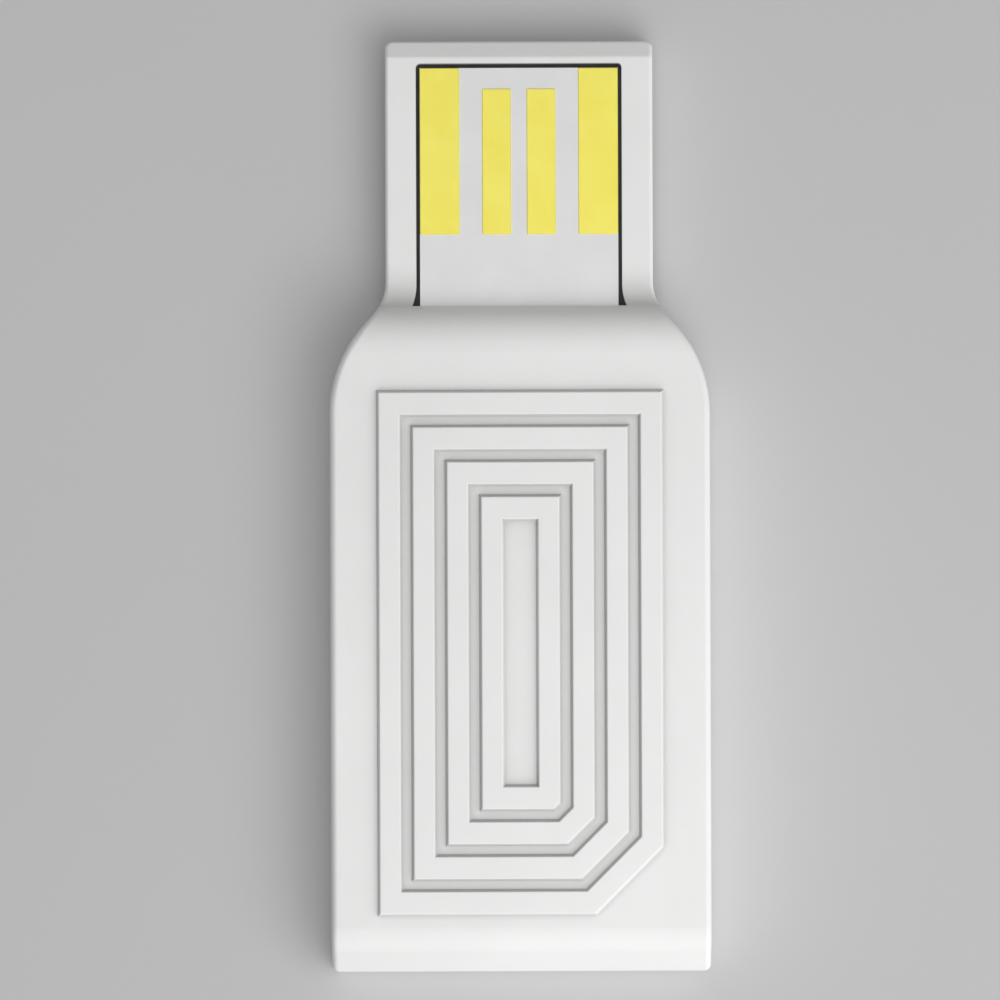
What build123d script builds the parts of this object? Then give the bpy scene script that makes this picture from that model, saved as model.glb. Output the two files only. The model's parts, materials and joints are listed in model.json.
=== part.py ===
from build123d import *
import os
from math import atan2, cos, degrees, hypot, radians, sin, sqrt, tan

# USB wifi adapter: a white stick that lies on its flat back, with a slim board-type USB-A plug.
# Millimetres. +Y runs along the stick to the tip of the plug, +X is to the right seen from above,
# +Z is up through the ridged face. The origin is the middle of the stick's underside.

# ---- outside of the stick --------------------------------------------------------------------
LENGTH = 41.75
TIP_Y = LENGTH / 2
END_Y = -LENGTH / 2
PLUG_HALF = 6.0                  # a USB-A plug is 12 mm wide
BODY_HALF = 8.5
PLUG_BOTTOM_Z = 0.5
PLUG_TOP_Z = 2.75
BODY_TOP_Z = 4.7
PARTING_Z = 1.65                 # where the two shells meet
BODY_EDGE_R = 0.28               # rounding of the body's outer edges
PLUG_EDGE_R = 0.16               # rounding of the plug's outer edges
SEAM = 0.06                      # bevel of the shells' edges along the parting line

# outline seen from above
CORNER_R = 0.32                  # upright corners at the tip and at the far end
INNER_CORNER_R = 0.1             # the same corners of the hollow and of the board
NECK_Y = 10.06                   # where the plug's sides start to flare
NECK_R = 2.2
FLANK_ANGLE = 41.5               # slope of the shoulder between its two arcs, from the long axis
SHOULDER_R = 5.85

# outline seen from the side
LEAD_IN_LENGTH = 0.72            # bevel along the plug's top front edge
LEAD_IN_DROP = 0.27
LEAD_IN_CREASE_R = 0.3
UNDER_LEAD_IN = 0.3              # bevel along the plug's bottom front edge
RISE_FOOT_Y = 10.86              # the plug's top sweeps up into the body in two curves
RISE_MIDDLE_Y, RISE_MIDDLE_Z = 8.98, 3.5     # where the two curves meet
RISE_SLOPE = 75
RISE_TOP_Y = 6.91
STEP_PLUG_Y = 9.4                # the underside steps down from the plug to the back here
STEP_BODY_Y = 8.6
STEP_CREASE_R = 0.4
END_ROUND_Y = -18.85             # the far end rounds over from here
END_ROUND_R = 1.29
END_TILT = 57                    # slope of the facet that follows

UPRIGHT = 1e-3                   # tolerance for calling a face or an edge upright
NEAR = 1e-3                      # tolerance for finding a face or an edge by its height

# ---- shells ----------------------------------------------------------------------------------
WALL = 1.0
FLOOR_Z = 0.8
ROOF_Z = 3.8
CAVITY_FRONT_Y = 7.6
CAVITY_END_Y = -19.3
LIP_THICKNESS = 0.45
LIP_HEIGHT = 0.5
LIP_CLEARANCE = 0.05
LIP_FRONT_Y = 6.0

# window in the top shell round the contact tongue
WINDOW_HALF = 4.62
WINDOW_FRONT_Y = 19.88
WINDOW_CORNER_R = 0.2
FLARE_START_Y = 9.95             # the window widens a little where the rails start to rise
FLARE_WIDTH = 0.2

# snap hooks on the bottom shell and their recesses in the top shell
HOOK_YS = (2.2, -14.6)
HOOK_WIDTH = 2.0
HOOK_INNER_X = 6.9
HOOK_OUTER_X = 7.4
HOOK_TOP_Z = 3.3
BARB = 0.35
BARB_HEIGHT = 0.55
HOOK_CLEARANCE = 0.1

# supports under the board; the first and the last carry a locating pin
SUPPORTS = ((-5.9, 4.6), (5.9, 4.6), (-5.9, -12.8), (5.9, -12.8))
PINNED = (SUPPORTS[0], SUPPORTS[3])
SUPPORT_R = 1.1
PIN_R = 0.6
PIN_TOP_Z = 3.1
PIN_HOLE_R = 0.7
POST_GAP = 0.05                  # between the board and the posts that hold it down

# underside of the bottom shell
DETENT_X, DETENT_FROM_TIP = 2.25, 5.2
DETENT_SIZE = (2.5, 2.0, 0.35)
LABEL_SIZE = (12.0, 18.0, 0.08)
LABEL_Y = -8.0
LABEL_CORNER_R = 1.0

# ---- ridge relief on the body's top ------------------------------------------------------------
RELIEF_Y = -6.55
RELIEF_HEIGHT = 0.35
RIDGES = 4
RELIEF_HALF = (6.32, 11.65)      # half width and half length at the outer top edge
RIDGE_TOP = (0.94, 0.987)        # width of a ridge's top along X and along Y
RIDGE_PITCH = (1.526, 1.557)
CUT_LEG = 3.0                    # 45 degree cut across one corner of the outer ridge
RIDGE_DRAFT = 0.11               # how far a ridge's wall leans out over its height
RIDGE_EDGE_R = 0.06

# ---- circuit board and contacts ----------------------------------------------------------------
BOARD_BOTTOM_Z = PARTING_Z
BOARD_THICKNESS = 1.0
BOARD_TOP_Z = BOARD_BOTTOM_Z + BOARD_THICKNESS
BOARD_GAP = 0.3                  # to the side walls inside the body
BOARD_FRONT_Y = 7.3
BOARD_END_Y = -18.8
TONGUE_HALF = 4.45
TONGUE_FRONT_Y = 19.67
HOOK_NOTCH_DEPTH = 2.0           # the board's edge is notched round the snap hooks
PAD_THICKNESS = 0.05
PAD_CORNER_R = 0.06
PAD_EDGE_R = 0.03
PAD_END_Y = 12.2
DATA_PAD_FRONT_Y = 18.74
DATA_PAD_X = 1.0                 # USB-A data contacts are 2 mm apart
DATA_PAD_WIDTH = 1.29
POWER_PAD_WIDTH = 1.78
TAPE_THICKNESS = 0.1
TAPE_HALF = 4.95
TAPE_FRONT_Y = 20.1
TAPE_END_Y = 7.7

# ---- parts on the board --------------------------------------------------------------------
SHIELD_Y = -6.3
SHIELD_SIZE = (10.6, 9.6)
SHIELD_FRAME_HEIGHT = 0.85
SHIELD_TOP_HEIGHT = 1.05
SHIELD_SKIRT_Z = 0.25            # the cover's skirt ends this far above the board
SHIELD_METAL = 0.15
SHIELD_FIT = 0.05
SHIELD_EDGE_R = 0.12
WIFI_CHIP = (5.0, 5.0, 0.75)
WIFI_CHIP_AT = (-0.8, -6.4)
WIFI_CHIP_PITCH, WIFI_CHIP_PADS_PER_SIDE = 0.5, 8
WIFI_CHIP_BEVEL = 0.08
CHIP_PAD = (0.25, 0.5)
CHIP_PAD_SHOWS = 0.05            # how far a leadless package's pads stand out beyond its body
CRYSTAL = (2.5, 2.0, 0.5)
CRYSTAL_LID = (2.2, 1.7, 0.15)
CRYSTAL_AT = (3.4, -4.0)
GULL_BODY = (2.9, 1.6, 0.85)     # small body with bent leads on both long sides
GULL_PITCH = 0.95
GULL_BEVEL = 0.12
GULL_STAND_OFF = 0.1
GULL_LEAD_WIDTH = 0.4
GULL_LEAD_METAL = 0.15
GULL_LEAD_Z = 0.4                # height at which the leads leave the body
GULL_FOOT = 0.4
GULL_SPAN = 2.8
REGULATOR_AT = (-3.4, 1.1)
ESD_AT = (-2.3, 5.1)
INDUCTOR = (2.5, 2.0, 0.9)
INDUCTOR_AT = (0.7, 1.1)
FUSE = (3.2, 1.6, 0.6)
FUSE_AT = (2.5, 5.3)
MEMORY = (3.0, 2.0, 0.55)
MEMORY_AT = (0.0, -5.0)
MEMORY_PITCH, MEMORY_PADS_PER_SIDE = 0.5, 4
CAPACITOR = (1.0, 0.5, 0.5)
RESISTOR = (1.0, 0.5, 0.35)
TERMINAL_SHARE = 0.22            # share of a two-ended part's length that each metal end takes
TERMINAL_EDGE_R = 0.04
TERMINAL_PROUD = 0.03            # how far the metal ends stand out round the body

# places of the small two-ended parts: x, y, turn in degrees
TOP_CAPACITORS = ((3.1, 2.2, 0), (3.1, 1.1, 0), (3.1, 0.0, 0), (-4.4, -4.4, 90), (-4.4, -6.4, 90),
                  (-4.4, -8.4, 90), (3.4, -6.3, 0), (3.4, -7.4, 0), (3.4, -8.5, 0))
UNDER_CAPACITORS = ((-3.4, -3.2, 90), (-3.4, -5.2, 90), (3.4, -3.2, 90))
TOP_RESISTORS = ((-1.8, -2.6, 0), (0.4, -2.6, 0), (-2.2, -10.1, 0), (0.0, -10.1, 0),
                 (-3.4, -12.4, 90), (-2.2, -12.4, 90))
UNDER_RESISTORS = ((3.4, -5.2, 90), (3.4, -7.2, 90))

ANTENNA_LEGS = 9
ANTENNA_PITCH = 1.15
ANTENNA_WIDTH = 0.45
ANTENNA_TOP_Y = -14.4
ANTENNA_BOTTOM_Y = -18.2
FEED_TOP_Y = -13.2
TEST_POINT_R = 0.5
TEST_POINT_ROWS, TEST_POINT_COLUMNS, TEST_POINT_PITCH = 2, 4, 2.0
TEST_POINTS_Y = 3.4


# ---- helpers -----------------------------------------------------------------------------------
def block(size, x=0.0, y=0.0, z=0.0):
    """Block of the given width, depth and height, centred on (x, y), standing on height z."""
    return Pos(x, y, z) * Box(*size, align=(Align.CENTER, Align.CENTER, Align.MIN))


def slab(x_half, y_low, y_high, z_low, z_high):
    """Block that is symmetric about the YZ plane, given by its faces."""
    size = (2 * x_half, y_high - y_low, z_high - z_low)
    return block(size, 0, (y_low + y_high) / 2, z_low)


def post(radius, x, y, z_low, z_high):
    return Pos(x, y, z_low) * Cylinder(
        radius, z_high - z_low, align=(Align.CENTER, Align.CENTER, Align.MIN))


def path(start, heading, steps):
    """Edges from a start point: a step is a straight length, or a (radius, turn) tangent arc."""
    edges, point, direction = [], Vector(*start), Vector(*heading).normalized()
    for step in steps:
        if isinstance(step, tuple):
            edge = JernArc(point, direction, *step)
        else:
            edge = Line(point, point + direction * step)
        edges.append(edge)
        point, direction = edge @ 1, edge % 1
    return edges


def both_sides(right_edges):
    """Face inside a right-hand outline and its mirror image across the Y axis."""
    half = Curve() + right_edges
    return make_face(half + mirror(half, Plane.YZ))


def prism(face, z_low, z_high):
    return Pos(0, 0, z_low) * extrude(face, z_high - z_low)


def solid_of(shape):
    """The one solid in a boolean result."""
    solids = shape.solids()
    assert len(solids) == 1, f"{len(solids)} solids"
    return solids[0]


# ---- outer form ----------------------------------------------------------------------------------
def plan_face(inset=0.0):
    """The stick's outline from above, moved inwards in parallel by the inset."""
    turn = radians(FLANK_ANGLE)
    arcs_width = (NECK_R + SHOULDER_R) * (1 - cos(turn))
    flank = (BODY_HALF - PLUG_HALF - arcs_width) / sin(turn)
    shoulder_y = NECK_Y - (NECK_R + SHOULDER_R) * sin(turn) - flank * cos(turn)
    corner = max(CORNER_R - inset, INNER_CORNER_R)
    top_y, bottom_y = TIP_Y - inset, END_Y + inset
    return both_sides(path((0, top_y), (1, 0), [
        PLUG_HALF - inset - corner,
        (corner, -90),
        top_y - corner - NECK_Y,
        (NECK_R + inset, FLANK_ANGLE),
        flank,
        (SHOULDER_R - inset, -FLANK_ANGLE),
        shoulder_y - bottom_y - corner,
        (corner, -90),
        BODY_HALF - inset - corner,
    ]))


def side_face():
    """The stick's outline from the side, on the YZ plane."""
    lead_in_angle = degrees(atan2(LEAD_IN_DROP, LEAD_IN_LENGTH))
    crease_tangent = LEAD_IN_CREASE_R * sin(radians(lead_in_angle)) / (1 + cos(radians(lead_in_angle)))
    start = (TIP_Y, PLUG_TOP_Z - LEAD_IN_DROP)
    plug_top = path(start, (-LEAD_IN_LENGTH, LEAD_IN_DROP), [
        hypot(LEAD_IN_LENGTH, LEAD_IN_DROP) - crease_tangent,
        (LEAD_IN_CREASE_R, lead_in_angle),
        TIP_Y - LEAD_IN_LENGTH - crease_tangent - RISE_FOOT_Y,
    ])
    middle, slope = (RISE_MIDDLE_Y, RISE_MIDDLE_Z), tan(radians(RISE_SLOPE))
    foot_control = (RISE_MIDDLE_Y + (RISE_MIDDLE_Z - PLUG_TOP_Z) / slope, PLUG_TOP_Z)
    top_control = (RISE_MIDDLE_Y - (BODY_TOP_Z - RISE_MIDDLE_Z) / slope, BODY_TOP_Z)
    rise = [Bezier((RISE_FOOT_Y, PLUG_TOP_Z), foot_control, middle),
            Bezier(middle, top_control, (RISE_TOP_Y, BODY_TOP_Z))]
    tilt = radians(END_TILT)
    facet = (END_ROUND_Y - END_ROUND_R * sin(tilt) - END_Y) / cos(tilt)
    body_top = path((RISE_TOP_Y, BODY_TOP_Z), (-1, 0), [
        RISE_TOP_Y - END_ROUND_Y,
        (END_ROUND_R, END_TILT),
        facet,
    ])
    end = body_top[-1] @ 1
    under = FilletPolyline(
        (END_Y, 0), (STEP_BODY_Y, 0), (STEP_PLUG_Y, PLUG_BOTTOM_Z),
        (TIP_Y - UNDER_LEAD_IN, PLUG_BOTTOM_Z), (TIP_Y, PLUG_BOTTOM_Z + UNDER_LEAD_IN),
        radius=[STEP_CREASE_R, STEP_CREASE_R, LEAD_IN_CREASE_R])
    outline = Curve() + plug_top + rise + body_top
    outline += [Line(end, (END_Y, 0)), under, Line(under @ 1, start)]
    return Plane.YZ * make_face(outline)


def rounded_form(edge_r):
    """The closed outside of the stick, both shells together, with its rims rounded."""
    form = extrude(plan_face(), 2 * BODY_TOP_Z) & extrude(side_face(), 2 * BODY_HALF, both=True)
    form = solid_of(form)
    walls = form.faces().filter_by(lambda face: abs(face.normal_at().Z) < UPRIGHT)
    rims = walls.edges().filter_by(lambda edge: abs((edge % 0.5).Z) < 1 - UPRIGHT)
    return fillet(rims, edge_r)


def outer_form():
    """The plug's part of the form with its sharper rims, joined to the body's part."""
    middle = Plane.XZ.offset(-RISE_MIDDLE_Y)
    plug = split(rounded_form(PLUG_EDGE_R), middle, keep=Keep.BOTTOM)
    body = split(rounded_form(BODY_EDGE_R), middle, keep=Keep.TOP)
    return solid_of(plug + body)


def half_form(form, keep):
    """One side of the parting plane, its outer edge there bevelled into half of the seam."""
    half = solid_of(split(form, Plane.XY.offset(PARTING_Z), keep=keep))
    mating = half.faces().filter_by_position(Axis.Z, PARTING_Z - NEAR, PARTING_Z + NEAR)[0]
    return solid_of(chamfer(mating.outer_wire().edges(), SEAM))


def cavity_face(grow=0.0):
    """Outline of the hollow in the body, grown outwards by the given amount."""
    limits = Pos(0, (CAVITY_FRONT_Y + CAVITY_END_Y) / 2) * Rectangle(
        4 * BODY_HALF, CAVITY_FRONT_Y - CAVITY_END_Y + 2 * grow)
    return plan_face(WALL - grow) & limits


def behind(shape, y):
    """The part of a shape on the far-end side of a given Y."""
    return shape & slab(2 * BODY_HALF, END_Y, y, 0, BODY_TOP_Z)


# ---- ridge relief ----------------------------------------------------------------------------------
def relief_face(inward, spread):
    """Outline of a ridge wall: inward steps along X and Y from the outer edge, plus a spread."""
    half_x = RELIEF_HALF[0] - inward[0] + spread
    half_y = RELIEF_HALF[1] - inward[1] + spread
    leg = CUT_LEG - (2 - sqrt(2)) * (sum(inward) / 2 - spread)
    corners = [(-half_x, -half_y), (-half_x, half_y), (half_x, half_y)]
    if leg > 0:
        corners += [(half_x, leg - half_y), (half_x - leg, -half_y)]
    else:
        corners += [(half_x, -half_y)]
    return Pos(0, RELIEF_Y) * make_face(Polyline(*corners, close=True))


def drafted(inward, spread_low, spread_high):
    """Prism over the relief's height whose walls lean by the difference of the two spreads."""
    low = Pos(0, 0, BODY_TOP_Z) * relief_face(inward, spread_low)
    high = Pos(0, 0, BODY_TOP_Z + RELIEF_HEIGHT) * relief_face(inward, spread_high)
    return loft([low, high], ruled=True)


def ridge(number):
    outer = tuple(number * pitch for pitch in RIDGE_PITCH)
    inner = tuple(start + top for start, top in zip(outer, RIDGE_TOP))
    ring = solid_of(drafted(outer, RIDGE_DRAFT, 0) - drafted(inner, -RIDGE_DRAFT, 0))
    top_z = BODY_TOP_Z + RELIEF_HEIGHT
    edges = ring.edges().filter_by_position(Axis.Z, top_z - NEAR, top_z + NEAR)
    return fillet(edges, RIDGE_EDGE_R)


# ---- shells ------------------------------------------------------------------------------------------
def window():
    """Opening round the contact tongue: through the frame, and on under the body's front wall."""
    flare_length = FLARE_START_Y - RISE_MIDDLE_Y
    flare_r = (flare_length ** 2 + FLARE_WIDTH ** 2) / (2 * FLARE_WIDTH)
    flare_turn = degrees(atan2(flare_length, flare_r - FLARE_WIDTH))
    face = both_sides(path((0, WINDOW_FRONT_Y), (1, 0), [
        WINDOW_HALF - WINDOW_CORNER_R,
        (WINDOW_CORNER_R, -90),
        WINDOW_FRONT_Y - WINDOW_CORNER_R - FLARE_START_Y,
        (flare_r, flare_turn),
    ]) + [Line((WINDOW_HALF + FLARE_WIDTH, RISE_MIDDLE_Y), (0, RISE_MIDDLE_Y))])
    opening = prism(face, PARTING_Z, BODY_TOP_Z)
    under_wall = slab(WINDOW_HALF + FLARE_WIDTH, CAVITY_FRONT_Y, RISE_MIDDLE_Y,
                      PARTING_Z, PLUG_TOP_Z)
    return opening + under_wall


def hook_outline(clearance):
    """Barb of a snap hook in the XZ plane, grown by a clearance for its recess."""
    low, high = HOOK_TOP_Z - BARB_HEIGHT - clearance, HOOK_TOP_Z + clearance
    tip_x = HOOK_OUTER_X + BARB + clearance
    return Plane.XZ * make_face(Polyline(
        (HOOK_INNER_X, low), (tip_x, low), (tip_x, (low + high) / 2), (HOOK_OUTER_X, high),
        (HOOK_INNER_X, high), close=True))


def snap_barbs(clearance=0.0):
    """Barbs of all the hooks, or with a clearance the recesses that take them."""
    width = HOOK_WIDTH + 2 * clearance
    right = extrude(hook_outline(clearance), width / 2, both=True)
    return [Pos(0, y, 0) * barb for y in HOOK_YS for barb in (right, mirror(right, Plane.YZ))]


def upper_housing(form):
    """Top shell: the body's roof with its ridges, the shoulders and the frame of the plug."""
    shell = half_form(form, Keep.TOP)
    shell += [ridge(number) for number in range(RIDGES)]
    shell -= prism(cavity_face(), PARTING_Z, ROOF_Z)
    shell -= window()
    rebate = prism(cavity_face(LIP_THICKNESS + LIP_CLEARANCE), PARTING_Z,
                   PARTING_Z + LIP_HEIGHT + LIP_CLEARANCE)
    shell -= behind(rebate, LIP_FRONT_Y + LIP_CLEARANCE)
    shell -= snap_barbs(HOOK_CLEARANCE)
    shell += [post(SUPPORT_R, x, y, BOARD_TOP_Z + POST_GAP, ROOF_Z) for x, y in SUPPORTS]
    shell -= [post(PIN_HOLE_R, x, y, BOARD_TOP_Z, PIN_TOP_Z + LIP_CLEARANCE) for x, y in PINNED]
    return solid_of(shell)


def lower_housing(form):
    """Bottom shell: the flat back, the floor under the contact tongue, lip, hooks and supports."""
    shell = half_form(form, Keep.BOTTOM)
    shell -= prism(cavity_face(), FLOOR_Z, PARTING_Z)
    shell -= tongue_tape()
    lip = prism(cavity_face(LIP_THICKNESS) - cavity_face(), PARTING_Z, PARTING_Z + LIP_HEIGHT)
    shell += behind(lip, LIP_FRONT_Y)
    shell += [post(SUPPORT_R, x, y, FLOOR_Z, PARTING_Z) for x, y in SUPPORTS]
    shell += [post(PIN_R, x, y, PARTING_Z, PIN_TOP_Z) for x, y in PINNED]
    leg_size = (HOOK_OUTER_X - HOOK_INNER_X, HOOK_WIDTH, HOOK_TOP_Z - FLOOR_Z)
    leg_x = (HOOK_OUTER_X + HOOK_INNER_X) / 2
    shell += [block(leg_size, side * leg_x, y, FLOOR_Z) for y in HOOK_YS for side in (-1, 1)]
    shell += snap_barbs()
    shell -= [block(DETENT_SIZE, side * DETENT_X, TIP_Y - DETENT_FROM_TIP, PLUG_BOTTOM_Z)
              for side in (-1, 1)]
    label = RectangleRounded(LABEL_SIZE[0], LABEL_SIZE[1], LABEL_CORNER_R)
    shell -= Pos(0, LABEL_Y, 0) * extrude(label, LABEL_SIZE[2])
    return solid_of(shell)


# ---- board, contacts and tape ----------------------------------------------------------------------
def circuit_board():
    """One board: a wide part inside the body and the tongue that carries the contacts."""
    wide = prism(plan_face(WALL + BOARD_GAP), BOARD_BOTTOM_Z, BOARD_TOP_Z)
    wide &= slab(BODY_HALF, BOARD_END_Y, BOARD_FRONT_Y, BOARD_BOTTOM_Z, BOARD_TOP_Z)
    board = wide + slab(TONGUE_HALF, BOARD_FRONT_Y, TONGUE_FRONT_Y, BOARD_BOTTOM_Z, BOARD_TOP_Z)
    notch = (HOOK_NOTCH_DEPTH, HOOK_WIDTH + 4 * HOOK_CLEARANCE, BOARD_THICKNESS)
    notch_x = HOOK_INNER_X - HOOK_CLEARANCE + notch[0] / 2
    board -= [block(notch, side * notch_x, y, BOARD_BOTTOM_Z) for y in HOOK_YS for side in (-1, 1)]
    board -= [post(PIN_HOLE_R, x, y, BOARD_BOTTOM_Z, BOARD_TOP_Z) for x, y in PINNED]
    return solid_of(board)


def contact(x, width, front_y):
    """Plated contact pad with slightly rounded corners and top edges."""
    pad = block((width, front_y - PAD_END_Y, PAD_THICKNESS), x, (front_y + PAD_END_Y) / 2, BOARD_TOP_Z)
    pad = fillet(pad.edges().filter_by(Axis.Z), PAD_CORNER_R)
    return fillet(pad.faces().sort_by(Axis.Z)[-1].edges(), PAD_EDGE_R)


def tongue_tape():
    """Black insulating tape between the tongue and the plug's floor; it shows in the gap."""
    return slab(TAPE_HALF, TAPE_END_Y, TAPE_FRONT_Y, PARTING_Z - TAPE_THICKNESS, PARTING_Z)


# ---- parts on the board ------------------------------------------------------------------------------
def on_top(shape, x, y, turn=0):
    return Pos(x, y, BOARD_TOP_Z) * Rot(0, 0, turn) * shape


def underneath(shape, x, y, turn=0):
    return Pos(x, y, BOARD_BOTTOM_Z) * Rot(180, 0, turn) * shape


def shield_frame():
    outer = block((*SHIELD_SIZE, SHIELD_FRAME_HEIGHT))
    open_size = tuple(side - 2 * SHIELD_METAL for side in SHIELD_SIZE)
    return on_top(outer - block((*open_size, SHIELD_FRAME_HEIGHT)), 0, SHIELD_Y)


def shield_cover():
    skirt_height = SHIELD_TOP_HEIGHT - SHIELD_SKIRT_Z
    inner_size = tuple(side + 2 * SHIELD_FIT for side in SHIELD_SIZE)
    outer_size = tuple(side + 2 * SHIELD_METAL for side in inner_size)
    lid = block((*outer_size, skirt_height), z=SHIELD_SKIRT_Z)
    lid = fillet(lid.edges().filter_by(Axis.Z) + lid.faces().sort_by(Axis.Z)[-1].edges(), SHIELD_EDGE_R)
    lid -= block((*inner_size, skirt_height - SHIELD_METAL), z=SHIELD_SKIRT_Z)
    return on_top(lid, 0, SHIELD_Y)


def leadless_chip():
    """Square package on its pads: the body stands clear of the board by the pads' thickness."""
    width, depth, height = WIFI_CHIP
    body = block((width, depth, height - PAD_THICKNESS), z=PAD_THICKNESS)
    body = chamfer(body.faces().sort_by(Axis.Z)[-1].edges(), WIFI_CHIP_BEVEL)
    first_x = -(WIFI_CHIP_PADS_PER_SIDE - 1) * WIFI_CHIP_PITCH / 2
    pad_y = (width - CHIP_PAD[1]) / 2 + CHIP_PAD_SHOWS
    pad = block((*CHIP_PAD, PAD_THICKNESS))
    pads = [Rot(0, 0, 90 * side) * Pos(first_x + place * WIFI_CHIP_PITCH, pad_y, 0) * pad
            for side in range(4) for place in range(WIFI_CHIP_PADS_PER_SIDE)]
    return body, pads


def memory_chip():
    """Small leadless package with a row of pads on each short side."""
    width, depth, height = MEMORY
    body = block((width, depth, height - PAD_THICKNESS), z=PAD_THICKNESS)
    first_y = -(MEMORY_PADS_PER_SIDE - 1) * MEMORY_PITCH / 2
    pad_x = (width - CHIP_PAD[1]) / 2 + CHIP_PAD_SHOWS
    pad = block((CHIP_PAD[1], CHIP_PAD[0], PAD_THICKNESS))
    pads = [Pos(side * pad_x, first_y + place * MEMORY_PITCH, 0) * pad
            for side in (-1, 1) for place in range(MEMORY_PADS_PER_SIDE)]
    return body, pads


def gull_wing_part(lead_xs_front, lead_xs_back):
    """Small body with bent leads: returns the body and its leads, standing on the board."""
    body = chamfer(block(GULL_BODY, z=GULL_STAND_OFF).faces().sort_by(Axis.Z)[-1].edges(), GULL_BEVEL)
    start_y, end_y = GULL_BODY[1] / 2, GULL_SPAN / 2
    heel_y, metal = end_y - GULL_FOOT, GULL_LEAD_METAL
    outline = Polyline(
        (start_y, GULL_LEAD_Z), (start_y, GULL_LEAD_Z + metal),
        (heel_y + metal, GULL_LEAD_Z + metal), (heel_y + metal, metal), (end_y, metal),
        (end_y, 0), (heel_y, 0), (heel_y, GULL_LEAD_Z), close=True)
    lead = extrude(Plane.YZ * make_face(outline), GULL_LEAD_WIDTH / 2, both=True)
    leads = [Pos(x, 0, 0) * lead for x in lead_xs_back]
    leads += [Rot(0, 0, 180) * Pos(-x, 0, 0) * lead for x in lead_xs_front]
    return body, leads


def two_ended(size):
    """Small block part: returns the body between its metal ends, and the two ends."""
    length, width, height = size
    end = length * TERMINAL_SHARE
    body = block((length - 2 * end, width - 2 * TERMINAL_PROUD, height - TERMINAL_PROUD))
    cap = block((end, width, height), (length - end) / 2)
    cap = fillet(cap.edges().filter_by(Axis.Y), TERMINAL_EDGE_R)
    return body, [cap, mirror(cap, Plane.YZ)]


def two_ended_group(size, top_places, under_places):
    """Bodies and metal ends of all the parts of one size, on both faces of the board."""
    body, ends = two_ended(size)
    places = [(on_top, place) for place in top_places]
    places += [(underneath, place) for place in under_places]
    bodies = [put(body, *place) for put, place in places]
    metal = [put(end, *place) for put, place in places for end in ends]
    return bodies, metal


def antenna_trace():
    """Printed meander at the far end of the board, with its feed from the radio."""
    first_x = -(ANTENNA_LEGS - 1) * ANTENNA_PITCH / 2
    leg_size = (ANTENNA_WIDTH, ANTENNA_TOP_Y - ANTENNA_BOTTOM_Y, PAD_THICKNESS)
    leg_y = (ANTENNA_TOP_Y + ANTENNA_BOTTOM_Y) / 2
    link_size = (ANTENNA_PITCH + ANTENNA_WIDTH, ANTENNA_WIDTH, PAD_THICKNESS)
    link_ys = (ANTENNA_BOTTOM_Y + ANTENNA_WIDTH / 2, ANTENNA_TOP_Y - ANTENNA_WIDTH / 2)
    legs = [block(leg_size, first_x + leg * ANTENNA_PITCH, leg_y) for leg in range(ANTENNA_LEGS)]
    links = [block(link_size, first_x + (leg + 0.5) * ANTENNA_PITCH, link_ys[leg % 2])
             for leg in range(ANTENNA_LEGS - 1)]
    feed_size = (ANTENNA_WIDTH, FEED_TOP_Y - ANTENNA_TOP_Y, PAD_THICKNESS)
    feed = block(feed_size, first_x, (FEED_TOP_Y + ANTENNA_TOP_Y) / 2)
    return Pos(0, 0, BOARD_TOP_Z) * solid_of(feed + legs + links)


def test_points():
    pad = Cylinder(TEST_POINT_R, PAD_THICKNESS, align=(Align.CENTER, Align.CENTER, Align.MIN))
    across = (TEST_POINT_COLUMNS - 1) * TEST_POINT_PITCH / 2
    return [underneath(pad, column * TEST_POINT_PITCH - across, TEST_POINTS_Y - row * TEST_POINT_PITCH)
            for row in range(TEST_POINT_ROWS) for column in range(TEST_POINT_COLUMNS)]


def board_parts():
    """Everything that is soldered to the board, by node name."""
    parts = {"shield_frame": shield_frame(), "shield_cover": shield_cover()}

    chip, chip_pads = leadless_chip()
    parts["wifi_chip"] = on_top(chip, *WIFI_CHIP_AT)
    parts["wifi_chip_pads"] = [on_top(pad, *WIFI_CHIP_AT) for pad in chip_pads]

    parts["crystal_base"] = on_top(block(CRYSTAL), *CRYSTAL_AT)
    parts["crystal_lid"] = on_top(block(CRYSTAL_LID, z=CRYSTAL[2]), *CRYSTAL_AT)

    three, two = (-GULL_PITCH, 0, GULL_PITCH), (-GULL_PITCH, GULL_PITCH)
    body, leads = gull_wing_part(three, two)
    parts["voltage_regulator"] = on_top(body, *REGULATOR_AT)
    parts["regulator_leads"] = [on_top(lead, *REGULATOR_AT) for lead in leads]
    body, leads = gull_wing_part(three, three)
    parts["esd_protector"] = on_top(body, *ESD_AT)
    parts["esd_protector_leads"] = [on_top(lead, *ESD_AT) for lead in leads]

    body, ends = two_ended(INDUCTOR)
    parts["power_inductor"] = on_top(body, *INDUCTOR_AT)
    parts["inductor_terminals"] = [on_top(end, *INDUCTOR_AT) for end in ends]
    body, ends = two_ended(FUSE)
    parts["power_fuse"] = on_top(body, *FUSE_AT)
    parts["fuse_terminals"] = [on_top(end, *FUSE_AT) for end in ends]

    body, pads = memory_chip()
    parts["memory_chip"] = underneath(body, *MEMORY_AT)
    parts["memory_chip_leads"] = [underneath(pad, *MEMORY_AT) for pad in pads]

    bodies, ends = two_ended_group(CAPACITOR, TOP_CAPACITORS, UNDER_CAPACITORS)
    parts["ceramic_capacitors"], parts["capacitor_terminals"] = bodies, ends
    bodies, ends = two_ended_group(RESISTOR, TOP_RESISTORS, UNDER_RESISTORS)
    parts["chip_resistors"], parts["resistor_terminals"] = bodies, ends

    parts["antenna_trace"] = antenna_trace()
    parts["test_points"] = test_points()
    return parts


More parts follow.
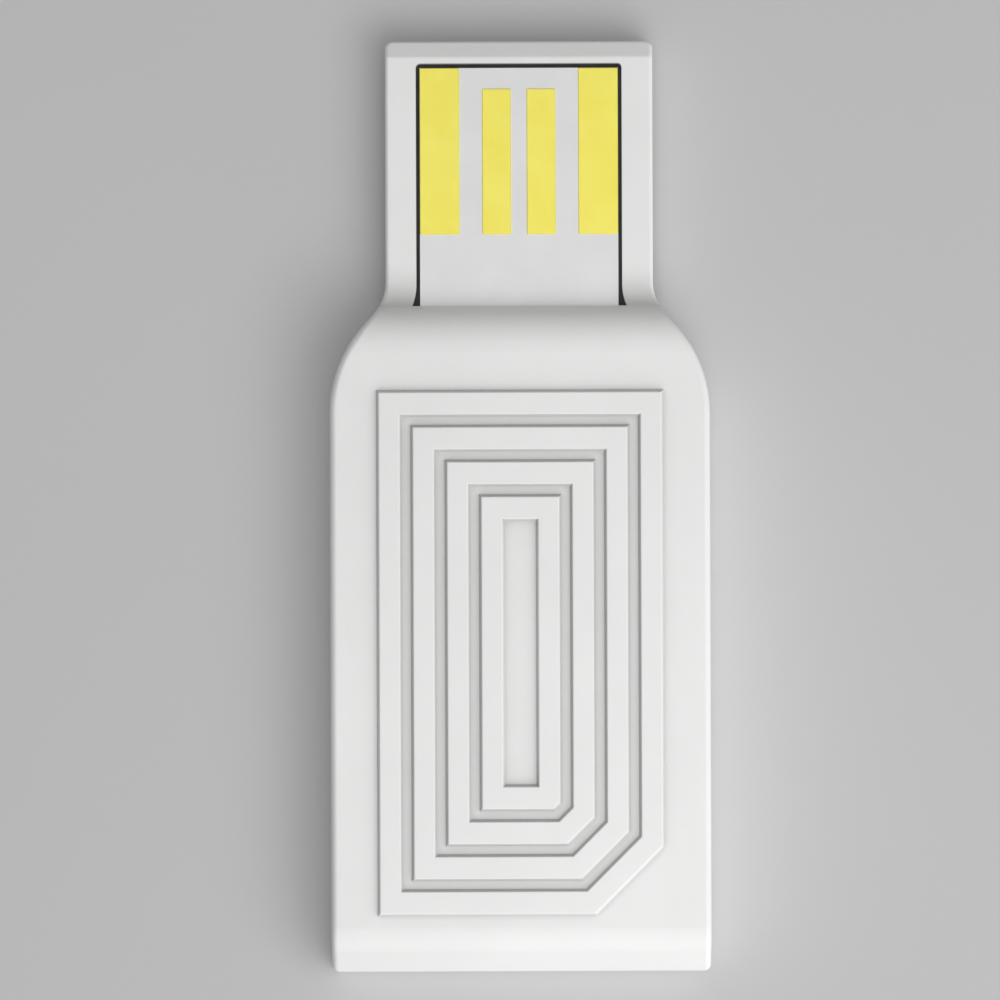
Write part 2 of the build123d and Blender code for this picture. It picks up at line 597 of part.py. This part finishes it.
# ---- whole assembly ------------------------------------------------------------------------------------
def assembly():
    form = outer_form()
    power_x = TONGUE_HALF - POWER_PAD_WIDTH / 2
    parts = {
        "upper_housing": upper_housing(form),
        "lower_housing": lower_housing(form),
        "circuit_board": circuit_board(),
        "vbus_contact": contact(-power_x, POWER_PAD_WIDTH, TONGUE_FRONT_Y),
        "data_minus_contact": contact(-DATA_PAD_X, DATA_PAD_WIDTH, DATA_PAD_FRONT_Y),
        "data_plus_contact": contact(DATA_PAD_X, DATA_PAD_WIDTH, DATA_PAD_FRONT_Y),
        "ground_contact": contact(power_x, POWER_PAD_WIDTH, TONGUE_FRONT_Y),
        "tongue_tape": tongue_tape(),
    }
    return parts | board_parts()


os.makedirs("parts", exist_ok=True)
for name, shape in assembly().items():
    if isinstance(shape, list):
        shape = Compound([solid for piece in shape for solid in piece.solids()])
    shape.label = name
    export_step(shape, f"parts/{name}.step")
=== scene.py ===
import json
import math

import bpy
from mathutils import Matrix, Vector


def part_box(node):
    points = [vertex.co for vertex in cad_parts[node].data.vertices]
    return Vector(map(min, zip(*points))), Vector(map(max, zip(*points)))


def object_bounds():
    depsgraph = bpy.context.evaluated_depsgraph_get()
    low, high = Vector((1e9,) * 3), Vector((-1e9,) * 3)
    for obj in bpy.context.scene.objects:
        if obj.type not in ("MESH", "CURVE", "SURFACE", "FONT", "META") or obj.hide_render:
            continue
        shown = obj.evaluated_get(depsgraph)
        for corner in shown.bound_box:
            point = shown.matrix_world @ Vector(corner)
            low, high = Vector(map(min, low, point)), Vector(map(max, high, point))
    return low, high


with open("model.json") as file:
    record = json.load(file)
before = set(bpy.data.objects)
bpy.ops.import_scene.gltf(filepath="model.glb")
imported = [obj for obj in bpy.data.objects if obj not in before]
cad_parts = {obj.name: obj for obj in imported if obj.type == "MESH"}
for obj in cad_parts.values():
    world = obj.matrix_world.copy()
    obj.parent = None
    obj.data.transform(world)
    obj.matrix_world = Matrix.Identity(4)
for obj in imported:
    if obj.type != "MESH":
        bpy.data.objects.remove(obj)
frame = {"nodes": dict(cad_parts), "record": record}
CAD_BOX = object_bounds()

MM = 0.001
CENTRE = (CAD_BOX[0] + CAD_BOX[1]) / 2
PLUG_TOP_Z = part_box("circuit_board")[1].z

# The white plastic's painted shades: painted shade on its edges, painted shade in its grooves and
# corners, and how near a wall has to be to put that shade in a corner.
EDGE_SHADE_GREY = (0.64, 0.64, 0.635)
PAINTED_SHADE_GREY = (0.30, 0.30, 0.295)
CREVICE_REACH = 1.5 * MM


# ---- node materials -----------------------------------------------------------------------------
class Shader:
    """A node material with one Principled shader, and short ways to add to it."""

    def __init__(self, name, **sockets):
        self.material = bpy.data.materials.new(name)
        self.material.use_nodes = True
        self.tree = self.material.node_tree
        self.bsdf = self.tree.nodes["Principled BSDF"]
        for socket, value in sockets.items():
            self.bsdf.inputs[socket.replace("_", " ")].default_value = value
        self.where = self.node("ShaderNodeTexCoord").outputs["Object"]

    def node(self, kind, **settings):
        """Adds a node; a setting is a property of the node or the value of an input."""
        made = self.tree.nodes.new(kind)
        for key, value in settings.items():
            if hasattr(made, key):
                setattr(made, key, value)
            else:
                made.inputs[key.replace("_", " ")].default_value = value
        return made

    def link(self, start, end):
        self.tree.links.new(start, end)

    def noise(self, size, detail=2.0, stretch=(1, 1, 1)):
        """Noise whose grains are about the given size in metres."""
        mapping = self.node("ShaderNodeMapping", Scale=[s / size for s in stretch])
        self.link(self.where, mapping.inputs["Vector"])
        noise = self.node("ShaderNodeTexNoise", Scale=1.0, Detail=detail, Roughness=0.5)
        self.link(mapping.outputs["Vector"], noise.inputs["Vector"])
        return noise.outputs["Fac"]

    def spread(self, value, low, high, start=0.3, end=0.7):
        """Maps a value from start..end to low..high."""
        node = self.node("ShaderNodeMapRange")
        limits = {"From Min": start, "From Max": end, "To Min": low, "To Max": high}
        for socket, number in limits.items():
            node.inputs[socket].default_value = number
        self.link(value, node.inputs["Value"])
        return node.outputs["Result"]

    def mix(self, factor, first, second):
        """Blends from the first to the second, each a colour or an earlier colour output."""
        node = self.node("ShaderNodeMix", data_type="RGBA")
        self.link(factor, node.inputs["Factor"])
        for socket, colour in (("A", first), ("B", second)):
            end = next(i for i in node.inputs if i.name == socket and i.type == "RGBA")
            if isinstance(colour, bpy.types.NodeSocket):
                self.link(colour, end)
            else:
                end.default_value = (*colour, 1)
        return next(o for o in node.outputs if o.type == "RGBA")

    def product(self, first, second):
        node = self.node("ShaderNodeMath", operation="MULTIPLY")
        self.link(first, node.inputs[0])
        self.link(second, node.inputs[1])
        return node.outputs["Value"]

    def bump(self, height, distance, strength):
        """Normal of a surface that stands up to distance metres proud, where height is 1."""
        node = self.node("ShaderNodeBump", Strength=strength, Distance=distance)
        self.link(height, node.inputs["Height"])
        return node.outputs["Normal"]

    def edge(self, radius):
        """1 on edges and 0 on flat faces, from how much a bevel turns the normal."""
        bevel = self.node("ShaderNodeBevel", samples=6, Radius=radius)
        geometry = self.node("ShaderNodeNewGeometry")
        dot = self.node("ShaderNodeVectorMath", operation="DOT_PRODUCT")
        self.link(bevel.outputs["Normal"], dot.inputs[0])
        self.link(geometry.outputs["Normal"], dot.inputs[1])
        return self.spread(dot.outputs["Value"], 1.0, 0.0, start=0.85, end=1.0)

    def crevice(self, reach):
        """0 in the open and towards 1 deep in grooves and corners, within a reach in metres."""
        near = self.node("ShaderNodeAmbientOcclusion", samples=8, Distance=reach)
        return self.spread(near.outputs["AO"], 1.0, 0.0, start=0.0, end=1.0)

    def height(self):
        """Height above the table in metres."""
        split = self.node("ShaderNodeSeparateXYZ")
        self.link(self.where, split.inputs["Vector"])
        return split.outputs["Z"]

    def finish(self, colour, roughness, normal):
        """Joins the three outputs to the Principled shader."""
        self.link(colour, self.bsdf.inputs["Base Color"])
        self.link(roughness, self.bsdf.inputs["Roughness"])
        self.link(normal, self.bsdf.inputs["Normal"])
        return self.material


def white_plastic():
    """Satin white moulded ABS: spark texture, faint flow clouds, painted shade on edges and in
    grooves.
    """
    s = Shader("white_plastic_satin", IOR=1.5, Subsurface_Weight=0.08, Subsurface_Scale=0.4 * MM,
               Subsurface_Radius=(1.0, 0.9, 0.8))
    clouds = s.noise(6 * MM, detail=3)
    grain = s.noise(0.12 * MM, detail=3)
    colour = s.mix(s.spread(clouds, 0, 1), (0.80, 0.80, 0.795), (0.83, 0.83, 0.825))
    # Painted shade on the edges: grey that dulls the highlights the lamps put on them.
    edge_shade = s.spread(s.edge(0.05 * MM), 0, 0.5, start=0, end=1)
    colour = s.mix(edge_shade, colour, EDGE_SHADE_GREY)
    # Painted shade: grey mixed into grooves and corners by how much nearby walls enclose them.
    painted_shade = s.spread(s.crevice(CREVICE_REACH), 0, 0.56, start=0.05, end=0.45)
    # Lower down the table is within reach, and the painted shade would turn the side walls grey.
    clear_of_table = s.spread(s.height(), 0, 1, start=CREVICE_REACH, end=1.2 * CREVICE_REACH)
    colour = s.mix(s.product(painted_shade, clear_of_table), colour, PAINTED_SHADE_GREY)
    roughness = s.spread(s.noise(0.9 * MM, detail=4), 0.34, 0.44)
    normal = s.bump(grain, 0.005 * MM, 0.7)
    return s.finish(colour, roughness, normal)


def solder_mask():
    """Pale grey solder mask: smooth, with faint clouds in its colour and a soft wavy surface."""
    s = Shader("solder_mask_pale", IOR=1.5)
    clouds = s.noise(2.5 * MM, detail=4)
    colour = s.mix(s.spread(clouds, 0, 1), (0.745, 0.745, 0.75), (0.785, 0.785, 0.79))
    roughness = s.spread(s.noise(0.3 * MM, detail=3), 0.32, 0.45)
    normal = s.bump(s.noise(0.4 * MM, detail=3), 0.01 * MM, 0.5)
    return s.finish(colour, roughness, normal)


def contact_gold():
    """Flash-gold contacts: pale yellow, satin, with fine lengthwise rubbing and duller edges."""
    s = Shader("contact_gold_satin", Metallic=0.5)
    rub = s.noise(0.05 * MM, detail=3, stretch=(1, 0.04, 1))
    clouds = s.noise(1.2 * MM, detail=4)
    colour = s.mix(s.spread(clouds, 0, 1), (0.94, 0.83, 0.12), (0.96, 0.87, 0.16))
    worn = s.spread(s.edge(0.06 * MM), 0, 0.6, start=0, end=1)
    colour = s.mix(worn, colour, (0.62, 0.55, 0.16))
    roughness = s.spread(rub, 0.32, 0.44)
    normal = s.bump(rub, 0.003 * MM, 0.5)
    return s.finish(colour, roughness, normal)


def plain_plastic(name, dark, light, roughness):
    """Small moulded or glazed part: clouds of two tints, uneven gloss and a fine grain."""
    uneven = 0.06
    s = Shader(name, IOR=1.5)
    clouds = s.noise(0.8 * MM, detail=4)
    colour = s.mix(s.spread(clouds, 0, 1), dark, light)
    rough = s.spread(s.noise(0.2 * MM, detail=3), roughness - uneven, roughness + uneven)
    normal = s.bump(s.noise(0.08 * MM, detail=2), 0.006 * MM, 0.6)
    return s.finish(colour, rough, normal)


def metal(name, dark, light, roughness, brushed=False):
    """Plated or rolled metal: cloudy between two tints, with fine rubbing that may run one way."""
    uneven = 0.08
    s = Shader(name, Metallic=1.0)
    rub = s.noise(0.06 * MM, detail=4, stretch=(0.05, 1, 1) if brushed else (1, 1, 1))
    colour = s.mix(s.spread(s.noise(1.0 * MM, detail=4), 0, 1), dark, light)
    rough = s.spread(rub, roughness - uneven, roughness + uneven)
    normal = s.bump(rub, 0.003 * MM, 0.5)
    return s.finish(colour, rough, normal)


def dress():
    """Gives every CAD node its finish, by the record's material slot."""
    finishes = {
        "white_plastic": white_plastic(),
        "solder_mask": solder_mask(),
        "contact_gold": contact_gold(),
        "black_tape": plain_plastic(
            "black_tape_matt", (0.03, 0.03, 0.03), (0.045, 0.045, 0.045), 0.7),
        "shield_metal": metal(
            "shield_nickel_silver", (0.62, 0.61, 0.58), (0.70, 0.69, 0.66), 0.35, brushed=True),
        "chip_plastic": plain_plastic(
            "chip_epoxy", (0.012, 0.012, 0.013), (0.022, 0.022, 0.024), 0.55),
        "tinned_metal": metal(
            "tin_plate", (0.62, 0.62, 0.62), (0.74, 0.74, 0.73), 0.3),
        "crystal_ceramic": plain_plastic(
            "crystal_ceramic", (0.55, 0.50, 0.43), (0.62, 0.57, 0.50), 0.6),
        "capacitor_ceramic": plain_plastic(
            "capacitor_ceramic", (0.28, 0.17, 0.09), (0.36, 0.24, 0.14), 0.45),
        "resistor_body": plain_plastic(
            "resistor_glaze", (0.01, 0.01, 0.012), (0.02, 0.02, 0.024), 0.3),
        "ferrite": plain_plastic(
            "ferrite_body", (0.05, 0.05, 0.055), (0.08, 0.08, 0.085), 0.65),
        "fuse_body": plain_plastic(
            "fuse_epoxy", (0.01, 0.10, 0.04), (0.02, 0.15, 0.06), 0.4),
        "copper": metal(
            "antenna_copper", (0.75, 0.36, 0.19), (0.85, 0.45, 0.25), 0.35),
    }
    for part in frame["record"]["subparts"]:
        materials = frame["nodes"][part["node"]].data.materials
        materials.clear()
        materials.append(finishes[part["material_slot"]])


# ---- studio -------------------------------------------------------------------------------------
FLOOR_HALF = 1.5     # half the table's side, in metres

# Light panels: name, turn from +X and height above the table in degrees, distance and size in
# metres, and power in watts. The high one stands to the far end's right and makes that end the
# brightest. The gold pads mirror the overhead one. The fill casts no shadow.
PANELS = (
    ("high_right_panel", -45, 60, 0.22, 0.18, 0.165),
    ("overhead_panel", 90, 89, 0.30, 0.09, 0.035),
)
FILL = ("low_right_fill", -45, 30, 0.22, 0.15, 0.335)
ROOM_LIGHT = 0.30    # strength of the even white light from all round

# The camera: lens and sensor width in millimetres, the width that it sees at the plug's top and
# how far its aim is from the stick's middle in metres, and how far it is turned in degrees.
LENS, SENSOR = 400.0, 36.0
FIELD = 44.88 * MM
AIM_X, AIM_Y = -0.9 * MM, 0.28 * MM
TURN = -0.2


def floor():
    """Pale matt studio table under the stick."""
    mesh = bpy.data.meshes.new("studio_floor")
    half, z = FLOOR_HALF, CAD_BOX[0].z
    mesh.from_pydata([(-half, -half, z), (half, -half, z), (half, half, z), (-half, half, z)],
                     [], [(0, 1, 2, 3)])
    table = bpy.data.objects.new("studio_floor", mesh)
    bpy.context.scene.collection.objects.link(table)
    s = Shader("studio_floor_matt", IOR=1.45)
    clouds = s.noise(40 * MM, detail=3)
    colour = s.mix(s.spread(clouds, 0, 1), (0.83, 0.83, 0.84), (0.85, 0.85, 0.86))
    roughness = s.spread(s.noise(1 * MM), 0.7, 0.8)
    normal = s.bump(s.noise(0.3 * MM), 0.01 * MM, 0.3)
    mesh.materials.append(s.finish(colour, roughness, normal))


def area_light(name, turn, height, distance, size, power):
    """Square soft panel that looks at the stick's middle and isn't itself seen."""
    data = bpy.data.lights.new(name, "AREA")
    data.shape, data.size, data.energy = "SQUARE", size, power
    light = bpy.data.objects.new(name, data)
    turn, height = math.radians(turn), math.radians(height)
    direction = Vector((math.cos(turn) * math.cos(height), math.sin(turn) * math.cos(height),
                        math.sin(height)))
    light.location = CENTRE + direction * distance
    light.rotation_euler = (-direction).to_track_quat("-Z", "Y").to_euler()
    light.visible_camera = False
    bpy.context.scene.collection.objects.link(light)
    return light


def fill_light():
    """Shadowless and without glare, it lifts the stick alone and leaves the table as it is."""
    light = area_light(*FILL)
    light.data.use_shadow = False
    light.visible_glossy = False
    lit = bpy.data.collections.new("lit_by_fill")
    for node in frame["nodes"].values():
        lit.objects.link(node)
    light.light_linking.receiver_collection = lit


def room_light():
    """Even white light from all round."""
    world = bpy.data.worlds.new("studio_world")
    world.use_nodes = True
    background = world.node_tree.nodes["Background"]
    background.inputs["Color"].default_value = (1, 1, 1, 1)
    background.inputs["Strength"].default_value = ROOM_LIGHT
    bpy.context.scene.world = world


def camera():
    """Looks straight down on the stick from far off, the plug's tip at the top of the picture."""
    data = bpy.data.cameras.new("camera")
    data.lens, data.sensor_width = LENS, SENSOR
    data.clip_start, data.clip_end = 0.01, 10.0
    view = bpy.data.objects.new("camera", data)
    view.location = Vector((AIM_X, AIM_Y, PLUG_TOP_Z)) + Vector((0, 0, FIELD * LENS / SENSOR))
    view.rotation_euler = (0, 0, math.radians(TURN))
    bpy.context.scene.collection.objects.link(view)
    bpy.context.scene.camera = view


dress()
floor()
for panel in PANELS:
    area_light(*panel)
fill_light()
room_light()
camera()
bpy.context.scene.view_settings.view_transform = "Standard"
